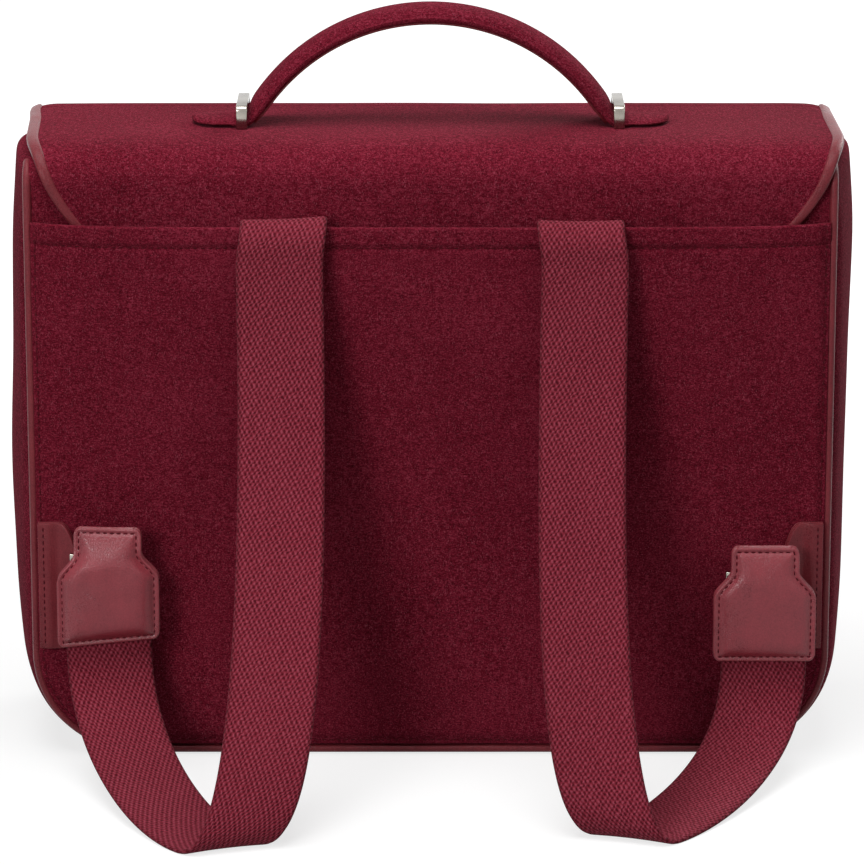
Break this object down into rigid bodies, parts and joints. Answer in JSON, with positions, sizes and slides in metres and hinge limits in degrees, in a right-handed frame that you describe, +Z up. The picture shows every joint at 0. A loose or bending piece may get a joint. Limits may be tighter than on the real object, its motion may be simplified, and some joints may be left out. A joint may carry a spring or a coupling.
{
  "type": "satchel bag",
  "caption": "Wool felt satchel with a leather-bound flap, an arched carrying handle and webbing shoulder straps that clip to D-rings.",
  "frame": {"origin": "on the floor, under the middle of the base", "axes": "+X to the right seen from the back, -Y out of the back with the straps, +Z up"},
  "size_m": [0.3838, 0.2502, 0.3374],
  "materials": {
    "felt": "matte pressed wool felt",
    "leather": "smooth, low sheen",
    "webbing": "heavy woven cotton",
    "nickel": "polished nickel plate",
    "lining": "plain woven cotton",
    "board": "raw fibre board"
  },
  "bodies": {
    "case": {"back_panel": "felt", "front_panel": "felt", "pocket_panel": "felt", "gusset": "felt", "back_piping": "leather", "front_piping": "leather", "lining": "lining", "base_board": "board", "back_board": "board", "flap_back": "felt", "flap_back_binding_left": "leather", "flap_back_binding_right": "leather", "anchor_left": "leather", "anchor_right": "leather", "snap_socket_left": "nickel", "snap_socket_right": "nickel", "strap_root_left": "webbing", "strap_root_right": "webbing"},
    "flap_top": {"flap_top": "felt", "flap_top_binding_left": "leather", "flap_top_binding_right": "leather", "flap_board": "board", "handle_loop_left": "nickel", "handle_loop_right": "nickel", "handle_end_left": "felt", "handle_end_right": "felt"},
    "flap_front": {"flap_front": "felt", "flap_front_binding": "leather", "snap_stud_left": "nickel", "snap_stud_right": "nickel"},
    "handle": {"handle_grip": "felt", "handle_underlay": "leather"},
    "strap_left": {"strap_left": "webbing", "tab_front_left": "leather", "tab_back_left": "leather", "hook_left": "nickel"},
    "gate_left": {"hook_gate_left": "nickel"},
    "ring_left": {"d_ring_left": "nickel"},
    "strap_right": {"strap_right": "webbing", "tab_front_right": "leather", "tab_back_right": "leather", "hook_right": "nickel"},
    "gate_right": {"hook_gate_right": "nickel"},
    "ring_right": {"d_ring_right": "nickel"}
  },
  "joints": [
    {"name": "flap_lift", "type": "hinge", "parent": "case", "child": "flap_top", "pos_m": [0, -0.0378, 0.2844], "axis": [1, 0, 0], "range_deg": [0, 100]},
    {"name": "flap_leaf_bend", "type": "hinge", "parent": "flap_top", "child": "flap_front", "pos_m": [0, 0.0607, 0.2686], "axis": [1, 0, 0], "range_deg": [0, 90], "stiffness_Nm_per_rad": 0.03},
    {"name": "handle_swing", "type": "hinge", "parent": "flap_top", "child": "handle", "pos_m": [0, 0, 0.2862], "axis": [1, 0, 0], "range_deg": [-45, 45], "stiffness_Nm_per_rad": 0.05},
    {"name": "strap_left_lift", "type": "hinge", "parent": "case", "child": "strap_left", "pos_m": [-0.0668, -0.0633, 0.2515], "axis": [-1, 0, 0], "range_deg": [0, 70]},
    {"name": "gate_left_open", "type": "hinge", "parent": "strap_left", "child": "gate_left", "pos_m": [-0.15226, -0.0663, 0.09398], "axis": [0, 1, 0], "range_deg": [0, 20], "stiffness_Nm_per_rad": 0.02},
    {"name": "ring_left_turn", "type": "hinge", "parent": "case", "child": "ring_left", "pos_m": [-0.1592, -0.0593, 0.082], "axis": [0, 0, -1], "range_deg": [-5, 10]},
    {"name": "strap_right_lift", "type": "hinge", "parent": "case", "child": "strap_right", "pos_m": [0.0685, -0.0633, 0.2515], "axis": [-1, 0, 0], "range_deg": [0, 70]},
    {"name": "gate_right_open", "type": "hinge", "parent": "strap_right", "child": "gate_right", "pos_m": [0.14324, -0.0663, 0.08548], "axis": [0, 1, 0], "range_deg": [0, 20], "stiffness_Nm_per_rad": 0.02},
    {"name": "ring_right_turn", "type": "hinge", "parent": "case", "child": "ring_right", "pos_m": [0.1592, -0.0593, 0.082], "axis": [0, 0, 1], "range_deg": [-5, 10]}
  ]
}
